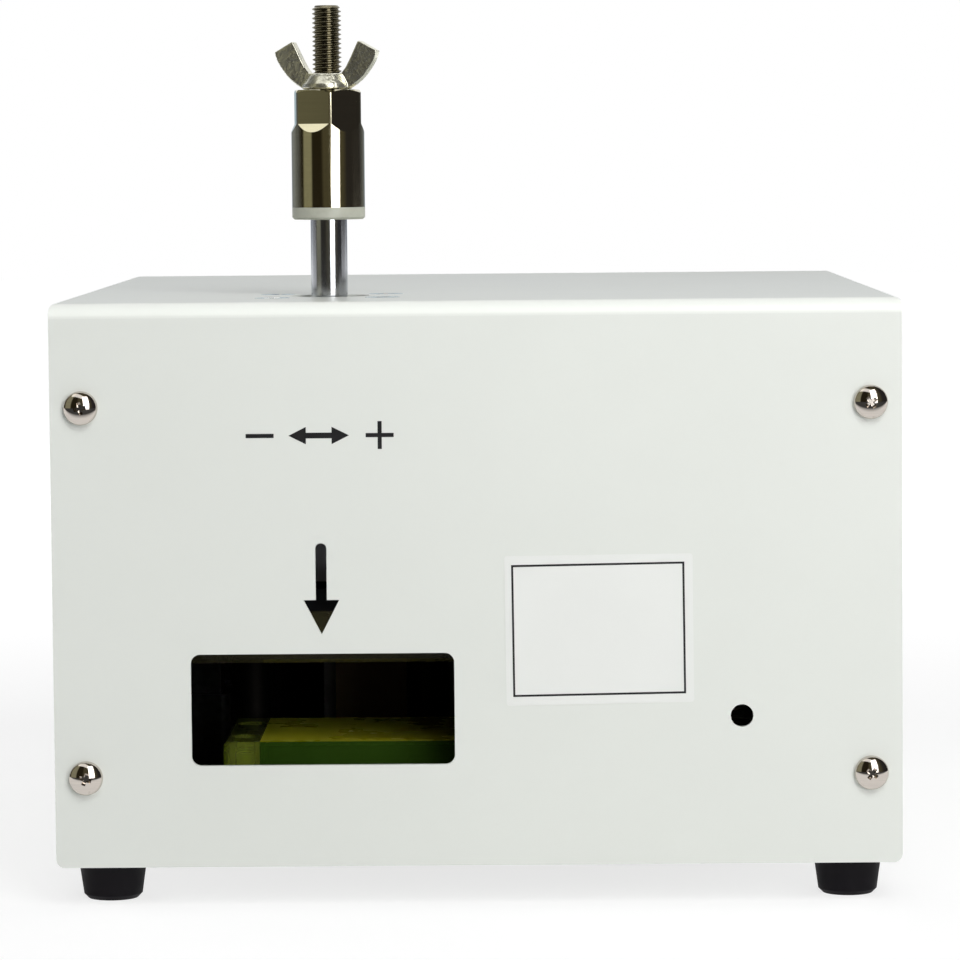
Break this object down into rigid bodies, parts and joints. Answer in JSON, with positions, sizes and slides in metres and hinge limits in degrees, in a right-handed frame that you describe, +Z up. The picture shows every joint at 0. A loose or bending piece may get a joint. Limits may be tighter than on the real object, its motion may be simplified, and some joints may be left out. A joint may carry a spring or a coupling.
{
  "type": "wire straightener",
  "caption": "Bench wire straightener: a case with a window where an air-pressed upper pad and a motor-driven lower pad rub a wire straight, and an adjustable stop above.",
  "frame": {"origin": "on the floor under the middle of the machine (bottom centre of its bounding box, feet on z = 0)", "axes": "+X to the right seen from the front, +Y from the front panel to the rear panel, +Z up"},
  "size_m": [0.225, 0.288, 0.2404],
  "materials": {
    "white_paint": "satin textured powder coat",
    "cover_paint": "satin powder coat",
    "nickel": "bright nickel plate",
    "chrome_sleeve": "bright plated",
    "rod_steel": "ground and hard chromed",
    "zinc_steel": "zinc plated",
    "bright_steel": "ground steel",
    "black_oxide": "black oxide",
    "anodised": "clear anodised",
    "black_anodised": "black anodised",
    "urethane": "clear yellow-green cast urethane",
    "nylon": "natural nylon",
    "rubber": "black moulded rubber",
    "bronze": "sintered bronze",
    "black_plastic": "moulded",
    "motor_grey": "painted die casting",
    "board_green": "solder mask",
    "capacitor_white": "moulded",
    "tube_blue": "urethane tube",
    "nickel_brass": "nickel plated brass",
    "seal": "nitrile"
  },
  "bodies": {
    "frame": {"chassis_tray": "white_paint", "front_top_cover": "cover_paint", "rear_panel": "white_paint", "rubber_feet": "rubber", "foot_screws": "zinc_steel", "cover_front_screws": "nickel", "rear_panel_screws": "nickel", "cylinder_barrel": "anodised", "cylinder_upper_cover": "anodised", "cylinder_lower_cover": "anodised", "cylinder_screws": "zinc_steel", "rod_glands": "bronze", "return_spring": "bright_steel", "post_bases": "black_anodised", "post_tie_bar": "black_anodised", "gearhead": "motor_grey", "gearmotor_body": "motor_grey", "motor_bracket": "zinc_steel", "frame_screws": "zinc_steel", "motor_capacitor": "capacitor_white", "position_sensors": "black_plastic", "valve_body": "anodised", "valve_coil": "black_plastic", "tube_fittings": "nickel_brass", "air_tubes": "tube_blue", "air_fitting": "nickel_brass", "control_board": "board_green", "power_inlet": "black_plastic", "switch_frame": "black_plastic", "pedal_socket": "nickel_brass", "guide_post_left": "bright_steel", "guide_post_right": "bright_steel", "guide_rail_front": "bright_steel", "guide_rail_rear": "bright_steel"},
    "press_head": {"piston": "anodised", "piston_seal": "seal", "piston_rod": "rod_steel", "rod_end_screw": "black_oxide", "press_plate": "black_anodised", "upper_pad": "urethane", "upper_pad_screws": "black_oxide", "guide_bushes": "bronze"},
    "stop_ring": {"stop_bumper": "nylon"},
    "stop_sleeve": {"stop_sleeve": "chrome_sleeve"},
    "wing_nut": {"wing_nut": "nickel"},
    "rub_table": {"slide_table": "black_anodised", "lower_pad": "urethane", "table_screws": "black_oxide", "gear_rack": "bright_steel", "carriages_front": "bright_steel", "carriages_rear": "bright_steel"},
    "pinion": {"drive_pinion": "bright_steel", "motor_shaft": "bright_steel", "pinion_set_screw": "black_oxide"},
    "rocker": {"switch_rocker": "black_plastic"},
    "fuse_drawer": {"fuse_drawer": "black_plastic"},
    "collar": {"fitting_collar": "black_plastic"},
    "override": {"valve_override": "black_plastic"}
  },
  "joints": [
    {"name": "press_stroke", "type": "slide", "parent": "frame", "child": "press_head", "axis": [0, 0, -1], "range_m": [0, 0.021], "stiffness_N_per_m": 900, "springref_m": -0.04, "deforming": ["return_spring"]},
    {"name": "stop_travel", "type": "slide", "parent": "press_head", "child": "stop_ring", "axis": [0, 0, 1], "range_m": [0, 0.00895]},
    {"name": "stop_turn", "type": "hinge", "parent": "stop_ring", "child": "stop_sleeve", "pos_m": [-0.0403, -0.0885, 0.2174], "axis": [0, 0, 1], "range_deg": [0, 2520]},
    {"name": "wing_turn", "type": "hinge", "parent": "stop_sleeve", "child": "wing_nut", "pos_m": [-0.0403, -0.0885, 0.2174], "axis": [0, 0, 1], "range_deg": [0, 360]},
    {"name": "table_slide", "type": "slide", "parent": "frame", "child": "rub_table", "axis": [-1, 0, 0], "range_m": [0, 0.025]},
    {"name": "pinion_turn", "type": "hinge", "parent": "frame", "child": "pinion", "pos_m": [0.07, -0.0955, 0.0505], "axis": [0, 1, 0], "range_deg": [0, 120]},
    {"name": "switch_rock", "type": "hinge", "parent": "frame", "child": "rocker", "pos_m": [0.03, 0.1265, 0.052], "axis": [-1, 0, 0], "range_deg": [0, 14]},
    {"name": "fuse_drawer_slide", "type": "slide", "parent": "frame", "child": "fuse_drawer", "axis": [0, 1, 0], "range_m": [0, 0.012]},
    {"name": "collar_press", "type": "slide", "parent": "frame", "child": "collar", "axis": [0, -1, 0], "range_m": [0, 0.0012], "stiffness_N_per_m": 500, "springref_m": -0.001},
    {"name": "override_press", "type": "slide", "parent": "frame", "child": "override", "axis": [0, 0, -1], "range_m": [0, 0.001], "stiffness_N_per_m": 400, "springref_m": -0.001}
  ],
  "couplings": [
    {"joint": "stop_travel", "follows": "stop_turn", "m_per_rad": 0.00019894},
    {"joint": "pinion_turn", "follows": "table_slide", "rad_per_m": 83.333}
  ]
}
